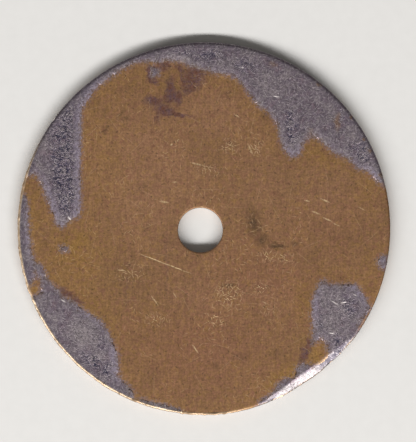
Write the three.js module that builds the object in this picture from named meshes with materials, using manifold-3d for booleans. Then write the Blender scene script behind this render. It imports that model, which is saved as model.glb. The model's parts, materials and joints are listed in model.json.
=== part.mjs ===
// A round metal dealer button: a flat disc blanked from brass sheet, with a hole punched a little
// off its centre, and what wear has left of the white plating on its two faces.
//
// The disc is one piece of brass. The plating is a second metal bonded to it. It was one skin, and
// it is now worn through into separate islands, so each island is a solid of its own. An island lies
// face to face on the brass, and where it reaches the rim it folds over the rolled edge and a little
// way down the wall, as the skin did when it was new.
//
// Millimetres, +Z up. The origin is at the middle of the disc, on the plane that the button rests
// on, which is the outer face of the plating on the reverse. +Y points to the top of the front face.

import * as THREE from "three";
import { mergeVertices } from "three/addons/utils/BufferGeometryUtils.js";
import Module from "manifold-3d";

// Driving dimensions.
const BUTTON_DIAMETER = 50.8; // 2 inches, over the plating
const BRASS_THICKNESS = 1.6; // 1/16 inch sheet
const PLATING = 0.05; // thickness of the plating

const HOLE_DIAMETER = 6.1;
const HOLE_CENTRE = [-0.55, -0.25]; // the punch landed off the middle
const HOLE_BREAK = 0.12; // width of the broken edge at each mouth of the hole

// Blanking pulls the front edge down into a soft roll and leaves the reverse edge sharper.
const FRONT_ROLL = { width: 0.45, depth: 0.2, steps: 5 };
const REVERSE_ROLL = { width: 0.3, depth: 0.15, steps: 3 };

// The button was dropped on its edge, which left a flat that slopes down towards the rim.
const KNOCK = { direction: -55, halfAngle: 19, slope: 20 }; // degrees

const RIM_WRAP = 0.7; // how far the plating reaches down the wall from either face
const RIM_SIDES = 120;
const HOLE_SIDES = 48;
const CUT_CLEARANCE = 1.5; // how far a cutting shape runs past what it cuts

// What follows from them.
const REVERSE_FACE = PLATING; // height of the bare brass on the reverse
const FRONT_FACE = REVERSE_FACE + BRASS_THICKNESS; // and on the front
const BRASS_RADIUS = BUTTON_DIAMETER / 2 - PLATING;
const OUTSIDE = BUTTON_DIAMETER / 2 + CUT_CLEARANCE; // radius of the outer side of an island's cutter

// The worn edges of the islands, as points [x, y] on a smooth line, seen from the front.
// An island at the rim gives its line from one end of its rim arc to the other.
const FRONT_RIM_ISLANDS = {
  // Along the top, with one tongue at the right and a broad one down the left.
  front_plating_crescent: {
    wornEdge: [
      [25.2, 5.4], [24.2, 6.2], [23.4, 6.5], [22.3, 7.7], [20.9, 8.1], [20.1, 9.0], [18.9, 9.8],
      [17.7, 10.3], [16.5, 11.4], [15.4, 12.2], [14.1, 12.1], [13.4, 11.1], [12.9, 10.1],
      [12.1, 9.7], [11.4, 10.0], [10.4, 11.8], [10.0, 13.6], [9.2, 15.3], [8.3, 16.1],
      [7.1, 16.9], [6.2, 18.1], [4.9, 19.9], [3.4, 20.8], [0.9, 21.3], [-0.6, 21.6],
      [-1.8, 22.0], [-3.3, 22.7], [-5.0, 22.8], [-6.4, 22.5], [-7.6, 22.7], [-9.6, 22.5],
      [-11.4, 21.6], [-12.5, 20.8], [-14.0, 19.8], [-15.2, 18.5], [-16.1, 17.1], [-16.7, 15.8],
      [-16.8, 12.0], [-16.9, 8.0], [-16.9, 3.6], [-17.1, 1.8], [-18.4, 1.1], [-19.3, 0.1],
      [-20.2, 0.8], [-20.9, 2.6], [-21.6, 4.3], [-22.1, 5.7], [-22.7, 6.9], [-23.4, 7.4],
      [-24.2, 7.0], [-25.0, 6.4],
    ],
  },
  // A thin strip down the left that widens into a rounded pool.
  front_plating_lower_left: {
    wornEdge: [
      [-25.6, 5.2], [-24.8, 4.6], [-24.2, 4.2], [-24.0, 1.8], [-23.9, -0.6], [-23.6, -2.6],
      [-23.2, -4.3], [-22.4, -5.0], [-21.9, -5.6], [-21.4, -6.9], [-20.4, -8.0], [-19.9, -8.3],
      [-19.1, -9.4], [-17.7, -9.9], [-16.9, -10.8], [-15.3, -11.9], [-14.2, -12.6], [-13.2, -13.9],
      [-12.5, -15.4], [-12.0, -16.8], [-11.7, -18.4], [-11.8, -20.0], [-10.9, -21.0],
      [-10.2, -21.7], [-9.6, -22.7], [-9.9, -23.8], [-10.4, -24.8],
    ],
    // A spot near the rim that wear has gone through.
    wornSpot: [
      [-24.6, -8.0], [-23.5, -7.5], [-22.9, -6.7], [-22.5, -6.9], [-22.4, -7.8], [-22.3, -8.5],
      [-23.0, -9.1], [-23.7, -9.3], [-24.6, -9.1],
    ],
  },
  // A smear along the bottom.
  front_plating_bottom_sliver: {
    wornEdge: [
      [-9.0, -24.6], [-8.7, -23.3], [-7.4, -23.6], [-6.0, -23.9], [-5.0, -24.2], [-3.4, -24.7],
      [-2.9, -25.6],
    ],
  },
  // A patch that runs down on to the flat of the knocked edge.
  front_plating_lower_right: {
    wornEdge: [
      [7.2, -25.0], [7.4, -23.9], [8.1, -23.2], [9.0, -22.7], [9.6, -21.9], [10.3, -20.9],
      [11.2, -20.5], [12.3, -20.3], [12.5, -19.1], [13.4, -18.4], [14.8, -18.7], [15.9, -18.4],
      [16.7, -17.8], [16.9, -16.8], [16.6, -15.8], [15.9, -15.1], [15.1, -15.5], [14.4, -15.8],
      [14.8, -14.6], [14.8, -13.2], [14.6, -11.4], [14.8, -9.6], [15.4, -8.0], [16.1, -7.1],
      [17.0, -7.6], [18.6, -7.6], [20.5, -7.7], [21.2, -8.3], [22.0, -9.6], [22.6, -10.7],
      [22.3, -11.4], [21.5, -12.7], [20.9, -13.9], [22.2, -14.4],
    ],
  },
};

const FRONT_FLECKS = {
  front_plating_right_fleck: [
    [24.7, -3.7], [24.0, -3.9], [23.6, -4.6], [23.9, -5.2], [24.4, -5.5], [24.8, -5.0],
    [24.9, -4.3],
  ],
  front_plating_left_fleck: [
    [-19.7, -2.6], [-19.1, -2.4], [-18.6, -2.8], [-18.9, -3.2], [-19.5, -3.1],
  ],
  front_plating_top_fleck: [
    [-7.3, 22.0], [-6.6, 21.9], [-6.1, 21.3], [-6.7, 20.6], [-7.4, 20.7],
  ],
};

// The reverse, also seen from the front, through the disc.
const REVERSE_RIM_ISLANDS = {
  reverse_plating_crescent: {
    wornEdge: [
      [-25.6, -6.6], [-24.0, -6.9], [-22.6, -8.4], [-20.6, -9.2], [-19.2, -11.0], [-16.8, -11.8],
      [-15.4, -14.2], [-12.6, -15.6], [-10.2, -15.2], [-8.4, -12.6], [-7.0, -10.4], [-5.8, -11.8],
      [-5.2, -15.2], [-3.0, -18.0], [0.4, -19.4], [4.2, -19.6], [7.6, -18.2], [10.0, -18.8],
      [12.6, -17.0], [14.0, -14.6], [16.8, -13.6], [18.6, -11.2], [20.8, -10.9], [22.4, -9.4],
      [25.2, -8.9],
    ],
  },
  reverse_plating_upper: {
    wornEdge: [
      [18.2, 19.6], [16.4, 18.0], [14.6, 18.4], [12.2, 17.2], [10.4, 18.6], [7.2, 19.2],
      [4.6, 21.0], [1.0, 21.6], [-2.4, 20.4], [-4.8, 20.9], [-7.2, 19.2], [-9.4, 19.9],
      [-10.9, 21.4], [-12.2, 23.0],
    ],
  },
};

const REVERSE_FLECKS = {
  reverse_plating_patch: [
    [-17.6, 9.0], [-14.4, 9.8], [-12.2, 8.2], [-11.6, 5.2], [-13.0, 3.0], [-15.8, 2.4],
    [-18.2, 3.6], [-18.9, 6.4],
  ],
  reverse_plating_fleck: [
    [19.0, 4.2], [21.4, 5.0], [22.8, 3.4], [21.9, 1.6], [19.6, 1.5], [18.2, 2.8],
  ],
};

const wasm = await Module();
wasm.setup();

// A closed three.js geometry as a manifold-3d solid.
function solidOf(geometry) {
  const bare = geometry.clone();
  bare.deleteAttribute("normal");
  bare.deleteAttribute("uv");
  const merged = mergeVertices(bare);
  return new wasm.Manifold(
    new wasm.Mesh({
      numProp: 3,
      vertProperties: merged.attributes.position.array,
      triVerts: new Uint32Array(merged.index.array),
    }),
  );
}

function namedMesh(name, solid, material) {
  const made = solid.getMesh();
  const geometry = new THREE.BufferGeometry();
  geometry.setAttribute("position", new THREE.BufferAttribute(made.vertProperties, 3));
  geometry.setIndex(new THREE.BufferAttribute(made.triVerts, 1));
  geometry.computeVertexNormals();
  const mesh = new THREE.Mesh(geometry, material);
  mesh.name = name;
  return mesh;
}

// A profile of [radius, height] points, turned about Z. It starts and ends on the axis.
function turned(profile, sides) {
  const points = profile.map(([radius, height]) => new THREE.Vector2(radius, height));
  const geometry = new THREE.LatheGeometry(points, sides);
  geometry.rotateX(Math.PI / 2); // the lathe turns about Y
  return solidOf(geometry);
}

// A quarter of an ellipse, from the flat face (turn 0) round to the wall (turn 90 degrees).
function rolledEdge(roll, face, wallSide, grow) {
  const centre = [BRASS_RADIUS - roll.width, face - wallSide * roll.depth];
  return Array.from({ length: roll.steps + 1 }, (_, step) => {
    const turn = (step / roll.steps) * (Math.PI / 2);
    return [
      centre[0] + (roll.width + grow) * Math.sin(turn),
      centre[1] + wallSide * (roll.depth + grow) * Math.cos(turn),
    ];
  });
}

// The flat that the knock left: everything above a plane that slopes down from a chord to the rim.
function knockCutter(grow) {
  const slope = THREE.MathUtils.degToRad(KNOCK.slope);
  const chordDistance = BRASS_RADIUS * Math.cos(THREE.MathUtils.degToRad(KNOCK.halfAngle));
  const size = BUTTON_DIAMETER / 2;
  const box = new THREE.BoxGeometry(size, size, size);
  box.translate(size / 2, 0, size / 2); // +X points out to the rim, and the chord is the Y axis
  box.rotateY(slope);
  box.translate(chordDistance, 0, FRONT_FACE + grow / Math.cos(slope));
  box.rotateZ(THREE.MathUtils.degToRad(KNOCK.direction));
  return solidOf(box);
}

function holeCutter() {
  const radius = HOLE_DIAMETER / 2;
  const past = HOLE_BREAK + CUT_CLEARANCE;
  const profile = [
    [0, REVERSE_FACE - CUT_CLEARANCE],
    [radius + past, REVERSE_FACE - CUT_CLEARANCE],
    [radius, REVERSE_FACE + HOLE_BREAK],
    [radius, FRONT_FACE - HOLE_BREAK],
    [radius + past, FRONT_FACE + CUT_CLEARANCE],
    [0, FRONT_FACE + CUT_CLEARANCE],
  ];
  return turned(profile, HOLE_SIDES).translate([...HOLE_CENTRE, 0]);
}

// The blank, grown outwards by a skin's thickness on every side but not inside the hole.
function blank(grow) {
  const profile = [
    [0, REVERSE_FACE - grow],
    ...rolledEdge(REVERSE_ROLL, REVERSE_FACE, -1, grow),
    ...rolledEdge(FRONT_ROLL, FRONT_FACE, 1, grow).reverse(),
    [0, FRONT_FACE + grow],
  ];
  return turned(profile, RIM_SIDES).subtract(knockCutter(grow)).subtract(holeCutter());
}

// The cutting shape of one side's plating: an outline, upright from its rim wrap to past its face.
function upright(shape, onFront) {
  const low = onFront ? FRONT_FACE - RIM_WRAP : REVERSE_FACE - CUT_CLEARANCE;
  const geometry = new THREE.ExtrudeGeometry(shape, {
    depth: RIM_WRAP + CUT_CLEARANCE,
    bevelEnabled: false,
    curveSegments: 3,
  });
  geometry.translate(0, 0, low);
  return solidOf(geometry);
}

function vectors(points) {
  return points.map(([x, y]) => new THREE.Vector2(x, y));
}

// A closed outline through a few points.
function fleckShape(points) {
  const line = vectors(points);
  const shape = new THREE.Shape();
  shape.moveTo(line[0].x, line[0].y);
  shape.splineThru([...line.slice(1), line[0]]);
  return shape;
}

// An outline that follows the worn edge and closes outside the rim, round the side that the edge
// runs away from, which is clockwise from its last point to its first.
function rimShape(wornEdge) {
  const line = vectors(wornEdge);
  const from = line[line.length - 1].angle();
  const to = line[0].angle();
  const shape = new THREE.Shape();
  shape.moveTo(line[0].x, line[0].y);
  shape.splineThru(line.slice(1));
  shape.absarc(0, 0, OUTSIDE, from, to, true);
  return shape;
}

const brassBlank = blank(0);
const skin = blank(PLATING).subtract(brassBlank);

function islandOf(shape, onFront, wornSpot) {
  const island = skin.intersect(upright(shape, onFront));
  return wornSpot ? island.subtract(upright(fleckShape(wornSpot), onFront)) : island;
}

const brass = new THREE.MeshStandardMaterial({ color: 0x8a6648, roughness: 0.5, metalness: 0.9 });
const plating = new THREE.MeshStandardMaterial({ color: 0x807579, roughness: 0.6, metalness: 0.9 });

const button = new THREE.Group();
button.name = "dealer_button";
button.add(namedMesh("brass_disc", brassBlank, brass));

for (const [rims, flecks, onFront] of [
  [FRONT_RIM_ISLANDS, FRONT_FLECKS, true],
  [REVERSE_RIM_ISLANDS, REVERSE_FLECKS, false],
]) {
  for (const [name, { wornEdge, wornSpot }] of Object.entries(rims)) {
    button.add(namedMesh(name, islandOf(rimShape(wornEdge), onFront, wornSpot), plating));
  }
  for (const [name, points] of Object.entries(flecks)) {
    button.add(namedMesh(name, islandOf(fleckShape(points), onFront), plating));
  }
}

export default button;
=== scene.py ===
# %% [markdown]
# # A worn metal dealer button
#
# A dealer button is a flat disc that goes round a card table to show whose turn it is to deal. This
# one was stamped out of brass sheet, plated with a dull white metal and then carried, slid and
# dropped until the plating wore through. What makes it look real is therefore not its outline, a
# plain circle, but the traces on it: the soft roll that stamping leaves round the edge, the flat
# that a fall knocked into the rim, the thinning islands of plating, the stains and the scratches.
# The lesson makes the brass first, lays the plating on it, and then mixes the finishes.

import json
import math

import bpy
from mathutils import Matrix, Vector
from mathutils.bvhtree import BVHTree
from mathutils.kdtree import KDTree


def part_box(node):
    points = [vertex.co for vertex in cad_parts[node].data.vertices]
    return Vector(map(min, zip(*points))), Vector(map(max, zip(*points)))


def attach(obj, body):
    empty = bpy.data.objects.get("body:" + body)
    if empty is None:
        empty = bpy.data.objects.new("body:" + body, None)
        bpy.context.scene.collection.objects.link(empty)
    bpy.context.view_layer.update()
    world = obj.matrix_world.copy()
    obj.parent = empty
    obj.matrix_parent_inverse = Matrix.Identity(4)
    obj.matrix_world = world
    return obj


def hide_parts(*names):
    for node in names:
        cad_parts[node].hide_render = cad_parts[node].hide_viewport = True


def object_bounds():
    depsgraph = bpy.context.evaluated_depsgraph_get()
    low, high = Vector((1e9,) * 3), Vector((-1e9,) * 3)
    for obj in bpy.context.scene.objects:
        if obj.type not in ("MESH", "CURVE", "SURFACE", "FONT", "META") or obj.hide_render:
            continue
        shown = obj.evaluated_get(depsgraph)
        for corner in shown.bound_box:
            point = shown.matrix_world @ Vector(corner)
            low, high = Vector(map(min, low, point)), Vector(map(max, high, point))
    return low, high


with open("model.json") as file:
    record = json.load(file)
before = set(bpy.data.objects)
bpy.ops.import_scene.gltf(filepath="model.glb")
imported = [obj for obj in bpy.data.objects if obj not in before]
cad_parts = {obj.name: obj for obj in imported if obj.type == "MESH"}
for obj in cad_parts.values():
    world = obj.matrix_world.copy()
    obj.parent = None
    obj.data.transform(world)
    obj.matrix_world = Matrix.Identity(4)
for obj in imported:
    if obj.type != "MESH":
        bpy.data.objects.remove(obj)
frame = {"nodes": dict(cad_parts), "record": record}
cad_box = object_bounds()
scene = bpy.context.scene
print("nodes in the frame:", len(frame["nodes"]))

# %% [markdown]
# ## Sizes
#
# The frame is in metres and its origin is on the table, under the middle of the disc. Everything
# that has a place is measured from it: the heights of the two bare faces, the radius, how far the
# plating stands above the brass, and the hole, which was punched a little off the middle.

# %% Measure the frame
MM = 0.001

brass_frame = frame["nodes"]["brass_disc"]
brass_low, brass_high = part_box("brass_disc")
REVERSE = brass_low.z
FRONT = brass_high.z
RADIUS = brass_high.y
PLATING = cad_box[1].z - FRONT

hole_low, hole_high = (Vector(corner) for corner in frame["record"]["physics"]["openings"][0]["box_m"])
HOLE = ((hole_low + hole_high) / 2).to_2d()
HOLE_RADIUS = min((v.co.to_2d() - HOLE).length for v in brass_frame.data.vertices)
print(f"disc {2 * RADIUS / MM:.2f} mm, {(FRONT - REVERSE) / MM:.2f} mm thick")
print(f"hole {2 * HOLE_RADIUS / MM:.2f} mm at {HOLE.x / MM:.2f}, {HOLE.y / MM:.2f}")

# %% [markdown]
# ## Small helpers
#
# Operators act on whatever is selected, so each step starts by choosing one object, and then its
# points by a test on where they are. That is what a box or circle select does by hand. A pull with
# proportional editing also drags along what lies near those points.

# %% Helpers for choosing


def work_on(piece):
    """Make this the only selected object, and the active one."""
    bpy.ops.object.select_all(action="DESELECT")
    piece.select_set(True)
    bpy.context.view_layer.objects.active = piece


def edit_points(piece, wanted):
    """Go to edit mode with only the points selected that pass the test."""
    work_on(piece)
    bpy.ops.object.mode_set(mode="EDIT")
    bpy.ops.mesh.select_mode(type="VERT")
    bpy.ops.mesh.select_all(action="DESELECT")
    bpy.ops.object.mode_set(mode="OBJECT")
    for vertex in piece.data.vertices:
        vertex.select = wanted(vertex)
    bpy.ops.object.mode_set(mode="EDIT")


def pull(piece, wanted, offset, reach):
    """Move the points that pass the test, and drag along what lies within reach of them."""
    edit_points(piece, wanted)
    bpy.ops.transform.translate(
        value=offset,
        use_proportional_edit=True,
        proportional_edit_falloff="SMOOTH",
        proportional_size=reach,
    )
    bpy.ops.object.mode_set(mode="OBJECT")


def fix_order(piece):
    """Sort points by place and faces by points. A merge leaves both to chance, and dents build on them."""
    mesh = piece.data
    points = sorted(tuple(v.co) for v in mesh.vertices)
    number = {point: index for index, point in enumerate(points)}
    faces = []
    for polygon in mesh.polygons:
        corners = [number[tuple(mesh.vertices[index].co)] for index in polygon.vertices]
        first = corners.index(min(corners))
        faces.append(corners[first:] + corners[:first])
    mesh.clear_geometry()
    mesh.from_pydata(points, [], sorted(faces))


def finish_modifier(piece, kind, **settings):
    """Add a modifier, give it its settings and apply it."""
    work_on(piece)
    bpy.ops.object.modifier_add(type=kind)
    modifier = piece.modifiers[-1]
    for name, value in settings.items():
        setattr(modifier, name, value)
    bpy.ops.object.modifier_apply(modifier=modifier.name)


# %% [markdown]
# ## The section of the disc
#
# A press pushes a round punch through the sheet. The front edge is drawn down into a soft roll, the
# upper part of the wall is rubbed smooth by the die, and the lower part tears away and leans in a
# little. The hole is made the same way. Half of that section, from the hole to the rim, is one closed
# line. It starts as a plane merged to a single point, and the point is extruded from corner to
# corner, as one would click it out by hand. A boolean from a plain cylinder would give the same
# outline, but without the even rings of points that the dents need later.

# %% Values of the section
RIM_ROLL = Vector((0.36, 0.20)) * MM
RIM_REVERSE = Vector((0.30, 0.15)) * MM
HOLE_ROLL = Vector((0.19, 0.14)) * MM
HOLE_REVERSE = Vector((0.12, 0.10)) * MM
FINE, MIDDLE, COARSE = 12, 6, 4  # steps round a rolled corner
TEAR_HEIGHT = 0.45  # share of the wall that tore instead of being cut
TEAR_LEAN = 0.03 * MM
FRONT_GAP = 0.45 * MM  # between the rings of points on the front
REVERSE_GAP = 0.7 * MM  # and on the reverse
WALL_GAP = 0.13 * MM
MERGE = 0.001 * MM  # points nearer together than this are one point


def between(start, end, gap):
    """Points from start, left out, to end, evenly spaced and about a gap apart."""
    start, end = Vector(start), Vector(end)
    count = max(1, round((end - start).length / gap))
    return [start.lerp(end, step / count) for step in range(1, count + 1)]


def rolled(corner, size, inward, upward, first_turn, last_turn, steps):
    """A quarter ellipse that rounds a corner. A turn of 0 is on the wall, and 90 is on the face."""
    centre = Vector(corner) + Vector((inward * size.x, -upward * size.y))
    points = []
    for step in range(1, steps + 1):
        turn = math.radians(first_turn + (last_turn - first_turn) * step / steps)
        arm = (-inward * size.x * math.cos(turn), upward * size.y * math.sin(turn))
        points.append(centre + Vector(arm))
    return points


# %% Draw the section
torn_radius = RADIUS - TEAR_LEAN
tear_z = REVERSE + TEAR_HEIGHT * (FRONT - REVERSE)
section = [Vector((HOLE_RADIUS + HOLE_ROLL.x, FRONT))]
section += between(section[-1], (RADIUS - RIM_ROLL.x, FRONT), FRONT_GAP)
section += rolled((RADIUS, FRONT), RIM_ROLL, -1, 1, 90, 0, FINE)
section += between(section[-1], (RADIUS, tear_z), WALL_GAP)
section += between(section[-1], (torn_radius, REVERSE + RIM_REVERSE.y), WALL_GAP)
section += rolled((torn_radius, REVERSE), RIM_REVERSE, -1, -1, 0, 90, MIDDLE)
section += between(section[-1], (HOLE_RADIUS + HOLE_REVERSE.x, REVERSE), REVERSE_GAP)
section += rolled((HOLE_RADIUS, REVERSE), HOLE_REVERSE, 1, -1, 90, 0, COARSE)
section += between(section[-1], (HOLE_RADIUS, FRONT - HOLE_ROLL.y), WALL_GAP)
section += rolled((HOLE_RADIUS, FRONT), HOLE_ROLL, 1, 1, 0, 90, MIDDLE)

bpy.ops.mesh.primitive_plane_add(size=MM, location=(section[0].x, 0, section[0].y))
blank = bpy.context.object
blank.name = "brass_blank"
bpy.ops.object.transform_apply(location=True, rotation=True, scale=True)
bpy.ops.object.mode_set(mode="EDIT")
bpy.ops.mesh.select_all(action="SELECT")
bpy.ops.mesh.merge(type="CENTER")
for here, there in zip(section, section[1:]):
    step = there - here
    bpy.ops.mesh.extrude_region_move(TRANSFORM_OT_translate={"value": (step.x, 0, step.y)})
bpy.ops.mesh.select_all(action="SELECT")
bpy.ops.mesh.remove_doubles(threshold=MERGE)
print("points in the section:", len(section) - 1)

# %% [markdown]
# ## Spin it into a disc
#
# Spin turns the section once round the Z axis. The last copy lands on the first, so the doubles are
# merged, and only then are the normals recalculated, because a spin can leave a shape inside out.

# %% Spin the section
SECTORS = 480

bpy.ops.mesh.spin(steps=SECTORS, angle=2 * math.pi, center=(0, 0, 0), axis=(0, 0, 1))
bpy.ops.mesh.select_all(action="SELECT")
bpy.ops.mesh.remove_doubles(threshold=MERGE)
bpy.ops.mesh.normals_make_consistent(inside=False)
bpy.ops.object.mode_set(mode="OBJECT")
fix_order(blank)
print("faces on the blank:", len(blank.data.polygons))

# %% [markdown]
# ## Move the hole off the middle
#
# The hole's points are pulled over, and the rings round them follow, less and less towards the rim.
# The hole stays round because all of its own points move together.

# %% Move the hole
SOFT_REACH = 9 * MM

mouth_radius = HOLE_RADIUS + HOLE_ROLL.x + FRONT_GAP / 2
pull(blank, lambda v: v.co.to_2d().length < mouth_radius, (HOLE.x, HOLE.y, 0), SOFT_REACH)
print("hole moved by", round(HOLE.length / MM, 2), "mm")

# %% [markdown]
# ## The knocked rim
#
# The disc has landed on its edge at the lower right. The blow drove the rim in by a quarter of a
# millimetre, which is a pull on a few wall points, and hammered it flat: everything that stood above
# a plane sloping down to the rim was pushed on to it. Bisect first cuts a clean line of edges where
# that plane meets the face, and scaling the points beyond it to nothing along the plane's normal
# then presses them flat.

# %% Knock the rim flat
KNOCK_DIRECTION = math.radians(-54)
KNOCK_HALF_ANGLE = math.radians(19.5)
KNOCK_SLOPE = math.radians(20)
KNOCK_DENT = 0.25 * MM
DENT_SPOT = 1.5 * MM
DENT_REACH = 9 * MM

outward = Vector((math.cos(KNOCK_DIRECTION), math.sin(KNOCK_DIRECTION), 0))
chord = outward * RADIUS * math.cos(KNOCK_HALF_ANGLE) + Vector((0, 0, FRONT))

struck = outward.to_2d() * RADIUS
pull(blank, lambda v: (v.co.to_2d() - struck).length < DENT_SPOT, -outward * KNOCK_DENT, DENT_REACH)
knock_normal = outward * math.sin(KNOCK_SLOPE) + Vector((0, 0, math.cos(KNOCK_SLOPE)))
along = knock_normal.cross(outward).normalized()
across = knock_normal.cross(along)

edit_points(blank, lambda v: True)
bpy.ops.mesh.bisect(plane_co=chord, plane_no=knock_normal, threshold=MERGE)
bpy.ops.object.mode_set(mode="OBJECT")
fix_order(blank)
edit_points(blank, lambda v: (v.co - chord).dot(knock_normal) > MERGE)
bpy.ops.transform.resize(
    value=(1, 1, 0),
    orient_type="GLOBAL",
    orient_matrix_type="GLOBAL",
    orient_matrix=Matrix((along, across, knock_normal)).transposed(),
    center_override=chord,
)
bpy.ops.object.mode_set(mode="OBJECT")
print("highest point above the flat:", max((v.co - chord).dot(knock_normal) for v in blank.data.vertices))

# %% [markdown]
# ## Waves, dents and the burr
#
# Rolled sheet is never quite flat, and a metal face gives that away in its reflections. Displace
# modifiers with a clouds texture move the points by hundredths of a millimetre: long waves and small
# dents everywhere, a rougher surface on the knocked flat and on the torn part of the wall, and a
# thin raised burr along the left and lower rim, where the edge has been scraped. Each one works on a
# vertex group, so that it stays where its cause was.

# %% Vertex groups for the damage
BURR_FROM = math.radians(150)
BURR_TO = math.radians(288)
BURR_FADE = math.radians(12)
BURR_DEPTH = 0.7 * MM
KNOCK_FADE = 0.3 * MM  # width of the soft edge of the knocked flat
WALL_SLACK = 0.01 * MM  # how far inside the wall a point may be and still be on it


def fade(value, start, end):
    """0 below start, 1 above end, and an even ramp between them."""
    return min(1.0, max(0.0, (value - start) / (end - start)))


def scraped_arc(place):
    """1 inside the arc where the rim was scraped, and 0 outside, with soft ends."""
    turn = math.atan2(place.y, place.x) % (2 * math.pi)
    return fade(turn, BURR_FROM, BURR_FROM + BURR_FADE) * fade(-turn, -BURR_TO, -BURR_TO + BURR_FADE)


def burr_weight(place):
    """How much a point belongs to the burr: at the top of the wall, and inside the scraped arc."""
    rise = fade(place.z, FRONT - BURR_DEPTH, FRONT - RIM_ROLL.y)
    rise *= fade(-place.z, -FRONT, -FRONT + RIM_ROLL.y / 2)
    near_rim = fade(place.to_2d().length, RADIUS - RIM_ROLL.x, RADIUS - RIM_ROLL.x / 2)
    return scraped_arc(place) * rise * near_rim


def knock_weight(place):
    """1 on the knocked flat, 0 elsewhere, with a soft edge."""
    flat = fade((place - chord).dot(outward), 0, KNOCK_FADE)
    return flat * fade(place.z, REVERSE, FRONT - 2 * RIM_ROLL.y)


def tear_weight(place):
    """1 on the torn part of the outer wall."""
    on_wall = place.to_2d().length > torn_radius - WALL_SLACK
    return float(on_wall and REVERSE + RIM_REVERSE.y < place.z < tear_z)


def add_group(piece, name, weight_of):
    """Make a vertex group and give each point its weight."""
    group = piece.vertex_groups.new(name=name)
    for vertex in piece.data.vertices:
        weight = weight_of(vertex.co)
        if weight > 0:
            group.add([vertex.index], weight, "REPLACE")
    return name


blank_groups = [
    add_group(blank, "burr", burr_weight),
    add_group(blank, "knock", knock_weight),
    add_group(blank, "tear", tear_weight),
]
print("groups:", blank_groups)

# %% Displace the blank
SMOOTH_BRASS = math.radians(35)  # edges sharper than this stay sharp
# group, size of the lumps, height of the lumps, level that stays in place
BLANK_RELIEF = [
    ("", 12.0 * MM, 0.020 * MM, 0.5),
    ("", 2.2 * MM, 0.006 * MM, 0.5),
    ("knock", 2.4 * MM, 0.260 * MM, 0.5),
    ("knock", 0.6 * MM, 0.090 * MM, 0.5),
    ("tear", 0.35 * MM, 0.060 * MM, 0.6),
    ("burr", 0.55 * MM, 0.300 * MM, 0.1),
]

for number, (group, lump, height, level) in enumerate(BLANK_RELIEF):
    clouds = bpy.data.textures.new(f"relief_{number}", "CLOUDS")
    clouds.noise_scale = lump
    clouds.noise_depth = 2
    finish_modifier(
        blank,
        "DISPLACE",
        texture=clouds,
        texture_coords="LOCAL",
        strength=height,
        mid_level=level,
        vertex_group=group,
    )
work_on(blank)
bpy.ops.object.shade_smooth_by_angle(angle=SMOOTH_BRASS)
print("blank spans", [round(size / MM, 2) for size in blank.dimensions])

# %% [markdown]
# ## The plating
#
# The plating is a skin a few hundredths of a millimetre thick. Each island that is left is copied
# from the frame, so its outline is exactly the one that the CAD gives, and is then made into real
# worn metal in five moves. Only the faces that look away from the brass are kept. The sheet is cut
# by a fine grid of bisects, because large faces can't follow a dented surface. Its border points are
# shaken a little, so that the edge is ragged. Shrinkwrap lays it on the detailed brass, and a second
# shrinkwrap, weighted by the distance to the border, presses the edge down until it thins to almost
# nothing. Solidify then gives it an underside that sits in the brass.

# %% Values of the plating
CUT_GAP = 0.36 * MM
RAGGED = 0.10 * MM
PLATE_LIFT = 0.032 * MM  # how far worn plating stands above the brass
EDGE_LIFT = 0.003 * MM  # what is left of that at its very edge
FEATHER = 0.9 * MM  # width of the thinning border
TOUCHING = 0.8 * PLATING  # faces nearer to the brass than this are the island's underside
SMOOTH_PLATE = math.radians(50)
EDGE_ATTRIBUTE = "from_edge"  # distance to the island's border in millimetres

brass_tree = BVHTree.FromPolygons(
    [v.co for v in brass_frame.data.vertices], [p.vertices for p in brass_frame.data.polygons]
)


def cut_across(piece, axis, gap):
    """Bisect the whole sheet by evenly spaced planes across one axis."""
    values = [v.co[axis] for v in piece.data.vertices]
    normal = Vector((0, 0, 0))
    normal[axis] = 1
    edit_points(piece, lambda v: True)
    for count in range(math.ceil(min(values) / gap), math.floor(max(values) / gap) + 1):
        bpy.ops.mesh.select_all(action="SELECT")
        bpy.ops.mesh.bisect(plane_co=normal * count * gap, plane_no=normal, threshold=MERGE)
    bpy.ops.object.mode_set(mode="OBJECT")


def border_points(mesh):
    """The numbers of the points on edges that have one face only."""
    uses = {}
    for polygon in mesh.polygons:
        for key in polygon.edge_keys:
            uses[key] = uses.get(key, 0) + 1
    return {point for key, count in uses.items() if count == 1 for point in key}


def tree_of(points):
    """A search tree that finds the nearest of some points."""
    tree = KDTree(len(points))
    for number, point in enumerate(points):
        tree.insert(point, number)
    tree.balance()
    return tree


# %% Make one island of plating


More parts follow.
